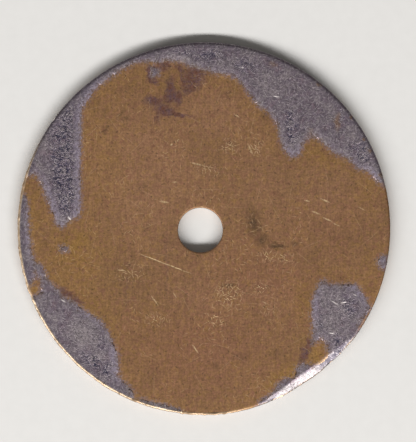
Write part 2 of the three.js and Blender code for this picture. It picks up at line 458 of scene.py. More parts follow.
def plate(node_name, seed):
    """Turn one CAD island into a thin, ragged, dented sheet of plating that lies on the brass."""
    mesh = frame["nodes"][node_name].data.copy()
    piece = bpy.data.objects.new("worn_" + node_name, mesh)
    scene.collection.objects.link(piece)

    edit_points(piece, lambda v: True)
    bpy.ops.mesh.remove_doubles(threshold=MERGE)
    bpy.ops.mesh.select_mode(type="FACE")
    bpy.ops.mesh.select_all(action="DESELECT")
    bpy.ops.object.mode_set(mode="OBJECT")
    for polygon in mesh.polygons:
        gap = brass_tree.find_nearest(polygon.center)[3]
        polygon.select = gap < TOUCHING
    bpy.ops.object.mode_set(mode="EDIT")
    bpy.ops.mesh.delete(type="FACE")
    bpy.ops.object.mode_set(mode="OBJECT")
    cut_across(piece, 0, CUT_GAP)
    cut_across(piece, 1, CUT_GAP)

    border = border_points(mesh)
    edit_points(piece, lambda v: v.index in border)
    bpy.ops.transform.vertex_random(offset=RAGGED, uniform=1.0, normal=0.0, seed=seed)
    bpy.ops.object.mode_set(mode="OBJECT")

    tree = tree_of([mesh.vertices[index].co.copy() for index in border])
    add_group(piece, "feather", lambda place: 1 - fade(tree.find(place)[2], 0, FEATHER))
    for group, lift in [("", PLATE_LIFT), ("feather", EDGE_LIFT)]:
        finish_modifier(
            piece,
            "SHRINKWRAP",
            target=blank,
            wrap_method="NEAREST_SURFACEPOINT",
            wrap_mode="OUTSIDE_SURFACE",
            offset=lift,
            vertex_group=group,
        )

    tree = tree_of([mesh.vertices[index].co.copy() for index in border])
    finish_modifier(piece, "SOLIDIFY", thickness=PLATING, offset=-1)
    attribute = mesh.attributes.new(EDGE_ATTRIBUTE, "FLOAT", "POINT")
    distances = [tree.find(v.co)[2] / MM for v in mesh.vertices]
    attribute.data.foreach_set("value", distances)
    work_on(piece)
    bpy.ops.object.shade_smooth_by_angle(angle=SMOOTH_PLATE)
    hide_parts(node_name)
    return piece


# %% Lay all the islands
islands = [name for name in frame["nodes"] if "plating" in name]
plates = [plate(name, seed) for seed, name in enumerate(sorted(islands), start=1)]
for piece in plates:
    print(piece.name, len(piece.data.polygons), "faces")

# %% [markdown]
# ## What the materials need to know about places
#
# Wear is gentlest next to the plating that still stands, so the brass keeps a warmer film there, and
# a few specks of the white metal. Both metals are rubbed where the rim was scraped and knocked, and at
# the mouth of the hole, and there they take a lighter polished colour, which is a painted highlight as
# well as rubbed metal. No texture knows these places, so they are stored on the meshes as attributes.

# %% Store the distance, and the rubbing with its painted highlight
NEAR_ATTRIBUTE = "to_plating"
# The rubbing also marks where a painted highlight goes: the scraped arc of the rim, the knocked flat and
# the mouth of the hole.
RUBBED_HIGHLIGHT_ATTRIBUTE = "rubbed_highlight"
RUBBED_RIM = 0.25 * MM
RUBBED_FADE = 0.15 * MM
RUBBED_KNOCK = (-0.1 * MM, 0.35 * MM)  # the rubbing fades in over these distances past the flat's edge
# so the mouth of the hole gets a fainter painted highlight than the rim
HOLE_RUB = 0.14  # the mouth of the hole is rubbed less than the rim


def rubbing_and_highlight_weight(place):
    """How much a point has been rubbed, and how strongly it takes the painted highlight, from 0 to 1."""
    radius = place.to_2d().length
    rim = scraped_arc(place) * fade(radius, RADIUS - RUBBED_RIM, RADIUS - RUBBED_RIM + RUBBED_FADE)
    knock = fade((place - chord).dot(outward), *RUBBED_KNOCK)
    mouth = (place.to_2d() - HOLE).length - HOLE_RADIUS
    lip = HOLE_RUB * fade(-mouth, -HOLE_ROLL.x, -HOLE_ROLL.x / 2)
    return max(rim, knock, lip) * fade(place.z, REVERSE, FRONT - 2 * RIM_ROLL.y)


def store(piece, name, value_of):
    """Give each point of the piece a value that its material can read."""
    attribute = piece.data.attributes.new(name, "FLOAT", "POINT")
    attribute.data.foreach_set("value", [value_of(v.co) for v in piece.data.vertices])


plating_tree = tree_of([v.co.copy() for piece in plates for v in piece.data.vertices])
store(blank, NEAR_ATTRIBUTE, lambda place: plating_tree.find(place)[2] / MM)
for piece in (blank, *plates):
    store(piece, RUBBED_HIGHLIGHT_ATTRIBUTE, rubbing_and_highlight_weight)
print("attributes on the brass:", [a.name for a in blank.data.attributes if not a.is_internal])

# %% [markdown]
# ## Helpers for materials
#
# Colours are chosen as sRGB hex values, but shading works in linear light, so one function converts
# them. Another adds a node with its settings and links and hands back one of its outputs, so that a
# material reads as a list of what is on the surface. The node used most is Map Range, which turns a
# stretch of noise or of distance into a mask. Its sockets 0 to 4 are the value, the two ends of the
# stretch (0 and 1 unless given) and what each end becomes (likewise).

# %% Material helpers


def linear(code):
    """An sRGB hex colour as the linear RGBA that a socket takes."""
    parts = [int(code[i : i + 2], 16) / 255 for i in (1, 3, 5)]
    return [p / 12.92 if p <= 0.04045 else ((p + 0.055) / 1.055) ** 2.4 for p in parts] + [1.0]


def add(tree, kind, sockets=None, output=0, **settings):
    """Add a node with its settings, set or link its sockets, and give back one of its outputs."""
    node = tree.nodes.new("ShaderNode" + kind)
    for name, value in settings.items():
        setattr(node, name, value)
    for name, value in (sockets or {}).items():
        if isinstance(value, bpy.types.NodeSocket):
            tree.links.new(value, node.inputs[name])
        else:
            node.inputs[name].default_value = value
    return node.outputs[output]


def new_material(name):
    """A material with its node tree, its shader and Object coordinates in millimetres."""
    material = bpy.data.materials.new(name)
    material.use_nodes = True
    tree = material.node_tree
    shader = tree.nodes["Principled BSDF"]
    place = add(tree, "TexCoord", output="Object")
    millimetres = add(tree, "Mapping", {"Vector": place, "Scale": (1 / MM,) * 3})
    return material, tree, shader, millimetres


def layered(tree, colour, layers):
    """Paint colours over each other, each through its mask."""
    for mask, layer in layers:
        colour = add(tree, "Mix", {0: mask, 6: colour, 7: layer}, output=2, data_type="RGBA")
    return colour


def shaded(tree, colour, noise, start, end, low, high):
    """Darken and lighten a colour by a noise, without changing its hue."""
    amount = add(tree, "MapRange", {0: noise, 1: start, 2: end, 3: low, 4: high})
    return add(tree, "VectorMath", {0: colour, "Scale": amount}, operation="SCALE")


def from_axis(tree, place):
    """How far a spot is from the disc's axis."""
    flat = add(tree, "VectorMath", {0: place, 1: (1, 1, 0)}, operation="MULTIPLY")
    return add(tree, "VectorMath", {0: flat}, output="Value", operation="LENGTH")


def finish_metal(tree, shader, colour, rough, bump):
    """Connect a finish to the shader and make it a full metal."""
    tree.links.new(colour, shader.inputs["Base Color"])
    tree.links.new(rough, shader.inputs["Roughness"])
    tree.links.new(bump, shader.inputs["Normal"])
    shader.inputs["Metallic"].default_value = 1.0


def streaky(tree, place, size, detail=3):
    """Noise whose lumps are stretched to a size along each axis, such as grain or drag lines."""
    stretched = add(tree, "Mapping", {"Vector": place, "Scale": [1 / length for length in size]})
    return add(tree, "TexNoise", {"Vector": stretched, "Scale": 1.0, "Detail": detail})


def pushed_about(tree, place, lump, reach):
    """Coordinates that noise has pushed about sideways, so that what is drawn on them is ragged."""
    lumps = {"Vector": place, "Scale": 1 / lump, "Detail": 4, "Roughness": 0.7}
    noise = add(tree, "TexNoise", lumps, output="Color")
    push = (2 * reach, 2 * reach, 0)
    centred = add(tree, "VectorMath", {0: noise, 1: (0.5,) * 3}, operation="SUBTRACT")
    terms = {0: centred, 1: push, 2: place}
    return add(tree, "VectorMath", terms, operation="MULTIPLY_ADD")


FRAY = 0.3  # size of the specks that a border of plating breaks up into, in millimetres
FRAY_REACH = 0.5  # how far they stray to either side of it


def coverage(tree, place, signed_distance):
    """How much plating covers a spot near an island's border, which frays into specks.

    Both metals use it with the same noise, so the specks run across the border without a seam."""
    noise = add(tree, "TexNoise", {"Vector": place, "Scale": 1 / FRAY, "Detail": 3, "Roughness": 0.75})
    frayed = add(tree, "MapRange", {0: noise, 1: 0.3, 2: 0.7, 3: -FRAY_REACH, 4: FRAY_REACH})
    frayed = add(tree, "Math", {0: frayed, 1: signed_distance}, operation="ADD")
    return add(tree, "MapRange", {0: frayed, 1: -0.45, 2: 0.45})


TURNS = 5  # read as one number, a cell's colour clusters round the middle, so it covers a few turns


def scratch_field(tree, place, cell, half_length, half_width, start, end, strength):
    """Short scratches at random places and angles, one in each cell of a Voronoi pattern.

    The cell's position places the scratch and its random colour turns it."""
    cells = add(tree, "TexVoronoi", {"Vector": place, "Scale": 1 / cell}, voronoi_dimensions="2D").node
    offset = add(tree, "VectorMath", {0: place, 1: cells.outputs["Position"]}, operation="SUBTRACT")
    turn = add(tree, "Math", {0: cells.outputs["Color"], 1: TURNS * math.tau}, operation="MULTIPLY")
    terms = {"Vector": offset, "Angle": turn}
    turned = add(tree, "VectorRotate", terms, rotation_type="Z_AXIS")
    squeeze = (1 / half_length, 1 / half_width, 0)
    unit = add(tree, "VectorMath", {0: turned, 1: squeeze}, operation="MULTIPLY")
    fall = add(tree, "TexGradient", {"Vector": unit}, output="Fac", gradient_type="SPHERICAL")
    return add(tree, "MapRange", {0: fall, 1: start, 2: end, 4: strength})


# %% [markdown]
# ## Marks that have a place
#
# Some marks are part of this button's story: one long scratch left of the hole, a few ticks, and
# purple-brown stains near the top. A Mapping node in texture mode moves, turns and stretches space so
# that a mark becomes a unit ball, and a spherical gradient then fades from 1 in its middle to 0 at
# its surface. A long thin ball makes a scratch that tapers at both ends, and a fat one on coordinates
# that noise has pushed about makes a stain with a ragged outline.

# %% Masks from lists of marks
MARK_DEPTH = 0.6  # a mark reaches this far into the disc, so it stays on its own face


def marks_mask(tree, place, marks):
    """The strongest of many marks. A mark is x, y, half length, half width, turn and strength."""
    mask = 0.0
    for x, y, half_length, half_width, turn, strength in marks:
        shape = {
            "Vector": place,
            "Location": (x, y, FRONT / MM),
            "Rotation": (0, 0, math.radians(turn)),
            "Scale": (half_length, half_width, MARK_DEPTH),
        }
        ball = add(tree, "Mapping", shape, vector_type="TEXTURE")
        fall = add(tree, "TexGradient", {"Vector": ball}, output="Fac", gradient_type="SPHERICAL")
        scaled = add(tree, "Math", {0: fall, 1: strength}, operation="MULTIPLY")
        mask = add(tree, "Math", {0: mask, 1: scaled}, operation="MAXIMUM")
    return mask


def zone_mask(tree, place, marks, start, end, low=0.0, high=1.0):
    """The same, with the stretch from start to end of its strength mapped on to low to high."""
    mask = marks_mask(tree, place, marks)
    return add(tree, "MapRange", {0: mask, 1: start, 2: end, 3: low, 4: high})


def line_mark(x0, y0, x1, y1, width, strength):
    """A scratch from one point to another, as a mark."""
    length = math.hypot(x1 - x0, y1 - y0)
    turn = math.degrees(math.atan2(y1 - y0, x1 - x0))
    return ((x0 + x1) / 2, (y0 + y1) / 2, length / 2 + width, width, turn, strength)


# %% The marks on the front, in millimetres from the middle of the disc
# Scratches: x and y of both ends, half width, strength.
LONG_SCRATCHES = [
    (-9.3, -3.35, -4.6, -5.1, 0.1, 0.9),
    (-6.6, -4.4, -1.3, -6.35, 0.11, 0.9),
    (-7.4, -9, -6.2, -10.7, 0.13, 0.6),
    (-4.3, -8.7, -3.8, -9.5, 0.13, 0.5),
    (-1.7, -15.8, -0.8, -17.1, 0.14, 0.8),
    (-11.9, -5.7, -10.7, -5.8, 0.13, 0.7),
    (-6.1, 3.7, -4.9, 3.5, 0.2, 0.7),
    (-2.1, 9, 0.1, 8.5, 0.15, 0.7),
    (-0.6, 8.6, 1.8, 8.1, 0.12, 0.4),
    (4, 15.6, 4.8, 15.1, 0.14, 0.7),
    (5.9, 11.6, 6.6, 10.1, 0.2, 0.6),
    (2.9, 11.6, 4.2, 11, 0.13, 0.5),
    (15.8, 4.1, 17.1, 3.5, 0.16, 0.9),
    (13.6, 3.8, 14.4, 3.7, 0.16, 0.7),
    (14.6, 2.35, 15.8, 1.9, 0.14, 0.7),
    (16.1, 1.5, 17.4, 0.9, 0.14, 0.8),
    (17.3, 0.8, 18.7, 0.2, 0.12, 0.5),
    (20.8, 3, 22, 2.4, 0.12, 0.4),
    (-4.4, 6.3, -3.6, 6.3, 0.12, 0.6),
    (-3.7, 11.9, -3.5, 12.1, 0.14, 0.9),
    (-4.6, 11.3, -4.4, 11.5, 0.14, 0.9),
    (7.6, -9.9, 8.8, -10.4, 0.12, 0.5),
    (10.2, -3.5, 10.9, -3.9, 0.12, 0.5),
]
LONG_SCRATCHES = [line_mark(*ends) for ends in LONG_SCRATCHES]
# Places where many short hairlines cross. These and the rest are marks as marks_mask takes them.
HAIRLINE_PATCHES = [
    (3.4, -9, 2.6, 2.4, 0, 1),
    (7.5, -8.2, 2, 1.3, 20, 0.7),
    (8.6, -3.8, 1.8, 1.3, 0, 0.8),
    (1.6, -12.6, 1.8, 1, -20, 0.9),
    (11.2, -4.2, 1.6, 1.2, 0, 0.7),
    (3.4, 11.2, 1.8, 1.4, -30, 0.8),
    (0.6, 7.9, 2.6, 1.2, -10, 0.6),
    (7, 10.9, 1.2, 1.5, 0, 0.9),
    (-10, -6, 3.2, 2.2, 0, 0.5),
    (-6.5, -12.4, 2.6, 1.4, 0, 0.6),
    (8.8, -11.2, 2, 2, 0, 0.4),
]
# Purple-brown residue, which has run down from the plating and dried.
STAINS = [
    (-1.4, 20.5, 1.9, 2.2, -30, 1),
    (-2.4, 19, 1, 1.1, 0, 0.8),
    (-4.7, 18.9, 0.75, 2.3, 0, 0.9),
    (-4.4, 17.9, 1.7, 1.2, 10, 0.9),
    (-3.5, 17.6, 0.7, 1.2, -10, 0.9),
    (-6.9, 17.3, 1.9, 0.95, -14, 0.9),
    (-5.4, 16.1, 1.8, 0.95, -10, 1),
    (-3.9, 15.5, 2.8, 0.3, -8, 0.9),
    (-5.3, 22.3, 0.9, 0.7, 0, 0.8),
    (-3.3, 21.7, 1.4, 0.5, -50, 0.8),
    (-6.9, 20.1, 1.1, 0.5, -20, 0.9),
    (-7.6, 21.4, 0.4, 1.4, 0, 0.8),
    (-2.9, 20.2, 0.4, 1.6, 15, 0.7),
    (-6.4, 15.1, 0.5, 1, 0, 0.6),
    (-7, 21.4, 1.1, 1, 0, 0.7),
    (-5.6, 21.9, 1.6, 0.8, 0, 0.5),
    (-18.6, -9, 1.3, 0.55, -25, 0.9),
    (-17.2, -9.9, 1.2, 0.5, -20, 0.8),
    (-19.4, -8.4, 0.9, 0.4, -10, 0.6),
    (13.6, -17.2, 0.8, 2, -28, 0.75),
    (14.3, -15.6, 0.7, 0.9, 0, 0.7),
    (-5.2, -5, 0.16, 6, 0, 0.22),
    (-10.6, -8, 0.18, 5, 0, 0.2),
]
# Greyish-green smudges and dark ticks.
SMUDGES = [
    (6.7, 0.7, 1.6, 3, 8, 1),
    (7.8, -1.6, 1.4, 1.2, 0, 0.9),
    (9.9, -2.4, 2.2, 0.6, -4, 1),
    (12.3, -2.1, 0.9, 0.35, 0, 0.8),
    (-11.3, 15.7, 1.3, 0.5, 40, 0.7),
    (-10.6, 15, 1, 0.5, 0, 0.6),
    (-13.1, 13.8, 0.5, 0.4, 20, 1),
    (-13.6, 13.3, 0.9, 0.3, 40, 0.9),
    (-13.6, 15.8, 0.5, 1.3, -10, 0.5),
    (3.2, -7.7, 1.4, 0.4, 4, 0.8),
    (17, 7.4, 0.6, 0.8, 20, 0.7),
    (3.3, 17.9, 0.6, 0.7, 0, 0.6),
    (5, -17.4, 1.7, 0.7, 12, 0.4),
    (1.6, -18.8, 0.8, 0.7, 0, 0.5),
    (9.9, -17, 2.2, 1.1, 10, 0.35),
    (3, -22, 0.9, 1.4, 0, 0.3),
    (-8.3, 5.8, 0.4, 0.9, 20, 0.5),
    (8.2, 15.2, 0.9, 0.5, 0, 0.5),
    (12.3, 10, 0.9, 0.7, 0, 0.45),
    (-15.5, -13, 0.6, 0.5, 0, 0.3),
]
print("placed marks:", sum(map(len, (LONG_SCRATCHES, HAIRLINE_PATCHES, STAINS, SMUDGES))))

# %% [markdown]
# ## Tarnished brass
#
# Cartridge-coloured brass sheet, rolled to gauge and then handled for years. Skin oils and air turn
# its yellow into a flat brown with no mirror left in it, so it is a full metal with a high roughness.
# The eye reads it by its unevenness: clouds of warmer and duller film a few millimetres across, grain
# along the rolling direction, pinpricks, and a golden border along the plating, where the surface
# was covered until lately. Real grain is about a hundredth of a millimetre wide, too fine to show, so
# it is drawn wider.

# %% Values of the brass finish
BRASS_DULL = linear("#836449")
BRASS_WARM = linear("#8a684b")
BRASS_OLIVE = linear("#8e6d42")
BRASS_PINK = linear("#87614c")
BRASS_CLEAN = linear("#947056")
# a painted highlight as well as rubbed brass: it lights the scraped rim, the knocked flat and the hole's
# mouth
POLISHED_BRASS_HIGHLIGHT = linear("#c4a789")
PLATE_SPECK = linear("#7d717b")
TORN_BRASS = linear("#a98256")
STAIN = linear("#644c4e")
STAIN_RED = linear("#6b4a3d")
SMUDGE = linear("#4c3d30")
SCRATCH = linear("#e6c79c")

# Sizes of its patterns in millimetres.
FILM_CLOUDS = 4.0
FILM_SPECKS = 0.26
FILM_TINTS = 0.5
GRAIN = (0.2, 2.2, 1.0)  # a streak's size along each axis
CROSS_GRAIN = (2.0, 0.2, 1.0)  # the fainter streaks that wiping leaves across it
DRAG_LINES = (0.12, 0.12, 2.0)  # what the die left down the wall
RAGGED_FILM = (0.7, 0.9)  # size and reach of the noise that makes a zone's outline ragged
WAVY_HAIRS = (0.8, 0.12)  # and of the noise that bends a hairline
GOLDEN_BORDER = (2.4, 0.2)  # the golden film fades in between these distances from the plating

# Scratch fields: cell, half length, half width, then where the mask starts, is full, and its strength.
TINY_HAIRS = (0.9, 0.5, 0.055, 0.1, 0.7, 1.0)
LONG_HAIRS = (4.6, 2.4, 0.05, 0.1, 0.9, 0.22)
DARK_NICKS = (1.7, 0.3, 0.12, 0.2, 0.8, 0.7)
CROSSED_HAIRS = (0.5, 0.45, 0.05, 0.05, 0.5, 1.0)

WALL_FROM = (0.16, 0.06)  # the wall fades in over these distances inside the outer radius
TORN_BELOW = (0.25, 0.35)  # and over these depths under the front
DULL_BRASS_ROUGHNESS = (0.53, 0.6)
RUBBED_BRASS_ROUGHNESS = 0.4

# Where the film is golden, thin or pink.
GOLDEN_ZONES = [
    (-17.4, -1.8, 2.6, 2.4, 0, 1.2),
    (-17, -4.5, 7, 7.5, 0, 0.55),
    (-14.5, -10.5, 5, 3, -40, 0.5),
    (-23.4, 2.5, 2, 6, 0, 0.6),
    (-13.5, 11, 4.5, 11, 0, 0.3),
    (15.9, -17.1, 2.4, 2.2, 0, 1),
    (12, -20, 5, 2.2, 32, 1),
    (15.5, 9.9, 4.5, 2, -35, 0.6),
    (22, 5, 2.5, 3, 0, 0.4),
    (13.3, -9.5, 2, 3.6, 0, 0.4),
    (-23.2, -8.1, 1.6, 1.4, 0, 1),
    (22.5, -6, 2.6, 4, 0, 0.25),
]
CLEAN_ZONES = [
    (-9, 8, 13, 11, -30, 1),
    (-3, 1, 10, 9, 0, 0.4),
    (9, 6, 9, 9, 0, 0.4),
    (1, 15.5, 7, 4.5, 0, 1),
    (17.5, 4.5, 7, 6, 0, 0.6),
    (-1, -9.5, 6, 4, 0, 0.5),
    (9, -9.5, 4, 3, 0, 0.4),
    (-17, -12, 3, 2, -40, 0.5),
]
PINK_ZONES = [
    (0, -17, 14, 9, 0, 0.7),
    (8, -7, 12, 9, 0, 0.5),
    (18, 0, 8, 7, 0, 0.3),
]

# %% Build the brass material
brass, tree, shader, place = new_material("Tarnished rolled brass sheet")

film = {"Vector": place, "Scale": 1 / FILM_CLOUDS, "Detail": 5, "Roughness": 0.6}
clouds = add(tree, "TexNoise", film)
specks = {"Vector": place, "Scale": 1 / FILM_SPECKS, "Detail": 3, "Roughness": 0.8}
speckle = add(tree, "TexNoise", specks)
grain = streaky(tree, place, GRAIN)
cross = streaky(tree, place, CROSS_GRAIN)
drag = streaky(tree, place, DRAG_LINES, detail=2)
ragged = pushed_about(tree, place, *RAGGED_FILM)
wavy = pushed_about(tree, place, *WAVY_HAIRS)
rub_and_highlight = add(tree, "Attribute", output="Fac", attribute_name=RUBBED_HIGHLIGHT_ATTRIBUTE)

# The film: golden next to the plating and in a few places, pinker in others.
distance = add(tree, "Attribute", output="Fac", attribute_name=NEAR_ATTRIBUTE)
warm = add(tree, "MapRange", {0: clouds, 1: 0.36, 2: 0.64})
far, near = GOLDEN_BORDER
near_gold = add(tree, "MapRange", {0: distance, 1: far, 2: near, 4: 0.25})
golden = add(tree, "Math", {0: marks_mask(tree, ragged, GOLDEN_ZONES), 1: near_gold}, operation="ADD")
gold_cloud = add(tree, "MapRange", {0: clouds, 1: 0.3, 2: 0.6, 3: 0.5, 4: 1.0})
gold = add(tree, "Math", {0: golden, 1: gold_cloud}, operation="MULTIPLY")
gold = add(tree, "MapRange", {0: gold, 2: 0.75})
pink = zone_mask(tree, ragged, PINK_ZONES, 0, 0.6, 0, 0.7)
hue = add(tree, "TexNoise", {"Vector": ragged, "Scale": 1 / FILM_TINTS, "Detail": 2})
clean = zone_mask(tree, ragged, CLEAN_ZONES, 0, 0.6, 0, 0.75)
olive_tint = add(tree, "MapRange", {0: hue, 1: 0.5, 2: 0.75, 4: 0.6})
pink_tint = add(tree, "MapRange", {0: hue, 1: 0.5, 2: 0.25})
layers = [(warm, BRASS_WARM), (clean, BRASS_CLEAN), (pink, BRASS_PINK), (gold, BRASS_OLIVE)]
layers += [(olive_tint, BRASS_OLIVE), (pink_tint, BRASS_PINK)]
colour = layered(tree, BRASS_DULL, layers)

# Residue and smudges, smeared along both grains.
fibres = add(tree, "Math", {0: grain, 1: cross}, operation="MAXIMUM")
smear = add(tree, "MapRange", {0: fibres, 1: 0.44, 2: 0.6, 3: 0.45, 4: 1.0})
stain = zone_mask(tree, ragged, STAINS, 0, 0.55)
stain = add(tree, "Math", {0: stain, 1: smear}, operation="MULTIPLY")
reddish = add(tree, "MapRange", {0: hue, 1: 0.52, 2: 0.42})
stain_red = add(tree, "Math", {0: stain, 1: reddish}, operation="MULTIPLY")
smudge = zone_mask(tree, ragged, SMUDGES, 0.05, 0.8, 0, 0.8)
smudge = add(tree, "Math", {0: smudge, 1: smear}, operation="MULTIPLY")
outside = add(tree, "Math", {0: distance, 1: -1.0}, operation="MULTIPLY")
veil = coverage(tree, place, outside)
layers = [(veil, PLATE_SPECK), (smudge, SMUDGE), (stain, STAIN), (stain_red, STAIN_RED)]
colour = layered(tree, colour, layers)

colour = shaded(tree, colour, speckle, 0.28, 0.72, 0.66, 1.35)
colour = shaded(tree, colour, grain, 0.3, 0.7, 0.9, 1.11)
colour = shaded(tree, colour, cross, 0.3, 0.7, 0.93, 1.07)

# Scratches: hairlines all over, dark nicks, crossed hairlines in patches, and the placed ones.
patchy = add(tree, "MapRange", {0: clouds, 1: 0.48, 2: 0.62, 4: 0.34})
tiny = scratch_field(tree, wavy, *TINY_HAIRS)
tiny = add(tree, "Math", {0: tiny, 1: patchy}, operation="MULTIPLY")
long_hair = scratch_field(tree, wavy, *LONG_HAIRS)
nicks = scratch_field(tree, place, *DARK_NICKS)
broken = add(tree, "MapRange", {0: speckle, 1: 0.34, 2: 0.52})
patches = zone_mask(tree, ragged, HAIRLINE_PATCHES, 0.05, 0.6, 0, 0.8)
patches = add(tree, "Math", {0: patches, 1: broken}, operation="MULTIPLY")
crossed = scratch_field(tree, place, *CROSSED_HAIRS)
crossed = add(tree, "Math", {0: crossed, 1: patches}, operation="MULTIPLY")
placed = zone_mask(tree, wavy, LONG_SCRATCHES, 0.05, 0.7)
placed = add(tree, "Math", {0: placed, 1: broken}, operation="MULTIPLY")
bright = 0.0
for mask in (tiny, long_hair, crossed, placed):
    bright = add(tree, "Math", {0: bright, 1: mask}, operation="MAXIMUM")
colour = layered(tree, colour, [(nicks, SMUDGE), (bright, SCRATCH)])

# Rubbed edges, in a light polished colour that is a painted highlight as well as rubbed brass, and the
# torn wall with the die's drag lines down it.
radius = from_axis(tree, place)
height = add(tree, "SeparateXYZ", {0: place}, output="Z")
start, end = (RADIUS / MM - inset for inset in WALL_FROM)
outer = add(tree, "MapRange", {0: radius, 1: start, 2: end})
start, end = (FRONT / MM - depth for depth in TORN_BELOW)
below = add(tree, "MapRange", {0: height, 1: start, 2: end})
wall = add(tree, "Math", {0: outer, 1: below}, operation="MULTIPLY")
rubbed_highlight = add(tree, "MapRange", {0: speckle, 1: 0.3, 2: 0.5, 3: 0.45, 4: 0.95})
rubbed_highlight = add(tree, "Math", {0: rubbed_highlight, 1: rub_and_highlight}, operation="MULTIPLY")
streaks = add(tree, "MapRange", {0: drag, 1: 0.3, 2: 0.7, 3: 0.5, 4: 1.0})
torn = add(tree, "Math", {0: wall, 1: streaks}, operation="MULTIPLY")
colour = layered(tree, colour, [(rubbed_highlight, POLISHED_BRASS_HIGHLIGHT), (torn, TORN_BRASS)])

smooth, coarse = DULL_BRASS_ROUGHNESS
dull = add(tree, "MapRange", {0: clouds, 1: 0.3, 2: 0.7, 3: smooth, 4: coarse})
worn = add(tree, "Math", {0: bright, 1: rubbed_highlight}, operation="MAXIMUM")
worn = add(tree, "Math", {0: worn, 1: wall}, operation="SUBTRACT", use_clamp=True)
rough = add(tree, "Mix", {0: worn, 2: dull, 3: RUBBED_BRASS_ROUGHNESS}, data_type="FLOAT")
relief = add(tree, "Math", {0: speckle, 1: bright}, operation="SUBTRACT")
relief = add(tree, "Math", {0: relief, 1: torn}, operation="ADD")
bump = add(tree, "Bump", {"Height": relief, "Strength": 0.4, "Distance": 0.02 * MM})
finish_metal(tree, shader, colour, rough, bump)
print(brass.name, len(tree.nodes), "nodes")

# %% [markdown]
# ## Dull, worn plating
#
# A white metal such as nickel, laid on by electroplating and never polished. Age turns it lilac-grey.
# Where it is thick it has gone dark and pitted in curls, and along some of its worn borders, where it
# has been rubbed thin and smooth, it stays lighter. At the border itself it breaks up into specks and
# the brass shows between them. So its main mask is the distance to the island's own border, and the
# pitting is strongest in a few places, such as the broad tongue on the left.

# %% Values of the plating finish
PLATE_GREY = linear("#7a6e76")
PLATE_LIGHT = linear("#978c8d")
PLATE_EDGE = linear("#958a98")
PLATE_DARK = linear("#3c3948")
PLATE_PINK = linear("#886a6e")
# a painted highlight as well as rubbed plating, on the knocked flat and the scraped rim
POLISHED_PLATE_HIGHLIGHT = linear("#a69f9e")
# a painted highlight: the light brass line along the rubbed rim, as well as bare brass there
RIM_HIGHLIGHT = linear("#c6ae92")
# painted shade, laid as a band just inside the rim and over patches of the knocked flat
RIM_SHADE = linear("#57525c")
BRASS_THROUGH = linear("#836549")
GLINT = linear("#f2e8e4")

# Sizes of its patterns in millimetres, as for the brass.
PLATE_CLOUDS = 1.8
PLATE_SPECKS = 0.3
PIT_CURLS = 0.42
PLATE_GRAIN = (0.2, 1.4, 1.0)
RAGGED_PLATE = (0.8, 0.9)
PLATE_HAIRS = (0.55, 0.4, 0.06, 0.1, 0.7, 0.25)
PLATE_NICKS = (0.8, 0.25, 0.08, 0.2, 0.8, 0.5)

RIM_SHADE_FROM = (1.0, 0.3)  # painted shade darkens the rim between these distances inside the outer radius
RIM_HIGHLIGHT_FROM = (0.3, 0.15)  # and rubbed plating gives way to brass between these
WORN_OFF_BELOW = (0.34, 0.42)  # and between these depths under the front
DULL_PLATE_ROUGHNESS = (0.46, 0.6)
RUBBED_PLATE_ROUGHNESS = 0.42

# where the plating is darkly pitted
PITTED = [
    (-19.4, 14.2, 2.8, 5, -14, 0.9),
    (-19.2, 8.6, 2.6, 6, 0, 1),
    (-18.6, 3.8, 1.8, 4.6, 8, 1),
    (-12.6, 22.4, 5.5, 0.9, 30, 0.55),
    (11.9, 13.8, 1.3, 3.2, 4, 0.9),
    (0.5, 23.8, 3, 1.6, 0, 0.6),
    (-3.5, 23.9, 3, 1, 0, 0.5),
    (5.5, 22.2, 2.4, 1.6, -20, 0.5),
    (21.6, 10.4, 2.6, 3.4, 30, 0.6),
    (19.5, 16, 2, 2.6, 0, 0.5),
    (-15.2, -18.2, 2.8, 1.3, -30, 0.7),
    (-13, -19.4, 2.2, 1.6, -40, 0.6),
    (-13.6, -15.6, 1.4, 1.6, 0, 0.5),
    (19.6, -10.6, 1.8, 2.2, 0, 0.6),
    (15.6, -13, 0.9, 2.6, 0, 0.55),
    (18.4, -15.6, 1.6, 1.6, 0, 0.6),
    (18.2, -17, 1.2, 0.8, 40, 1),
    (8.6, -22.9, 1.6, 0.8, -25, 0.7),
]
# where the knocked flat is darker, over its painted highlight
FLAT_DARK_PATCHES = [
    (17.5, -17.3, 3.4, 2, 45, 1),
    (20.9, -14.4, 2.6, 1.1, 57, 0.7),
    (8, -23.3, 2.4, 1, 18, 1),
    (13.2, -19.6, 1.1, 0.35, 35, 0.7),
]
# where it is paler
PALE = [
    (-16.6, -14.4, 3.4, 2.6, -40, 0.8),
    (-22, 11.6, 1.2, 2.6, -20, 0.7),
    (-14.2, -17.4, 1.4, 1.2, 0, 0.6),
    (9, 19.2, 4, 2.4, -30, 0.4),
    (16.5, -9.2, 2.6, 1.6, 0, 0.5),
    (-4, 23.3, 3, 0.9, 0, 0.6),
    (-11.5, 22, 3, 0.9, 30, 0.6),
    (20, 12, 2, 1.4, 0, 0.4),
    (22.9, 7.6, 1.4, 2.4, 20, 0.8),
    (24.3, -4.7, 1.8, 1.8, 0, 1),
    (-6.2, -24, 4.5, 1, -17, 1),
    (17.6, -12.2, 3.2, 4, 0, 0.45),
]
# where the border is a smooth, light band
LIGHT_BANDS = [
    (-17.4, 9, 1.9, 11, 0, 1),
    (-15.8, 18.3, 1.6, 3.6, -38, 0.8),
    (-20.8, 3.6, 1.4, 4.4, 18, 0.9),
    (-15, -11.8, 5, 1.6, -38, 0.7),
    (-12.2, -18, 1.4, 4.5, 0, 0.7),
    (-23.6, 0, 1.2, 5.5, 0, 0.7),
    (12, 10.5, 2, 2, 0, 0.5),
    (15, -10, 1.4, 4, 0, 0.5),
    (20.6, -8.8, 1.4, 2.8, 30, 0.8),
    (22.9, 7.6, 1.4, 2.4, 20, 0.7),
    (24.3, -4.7, 1.4, 1.4, 0, 0.9),
]
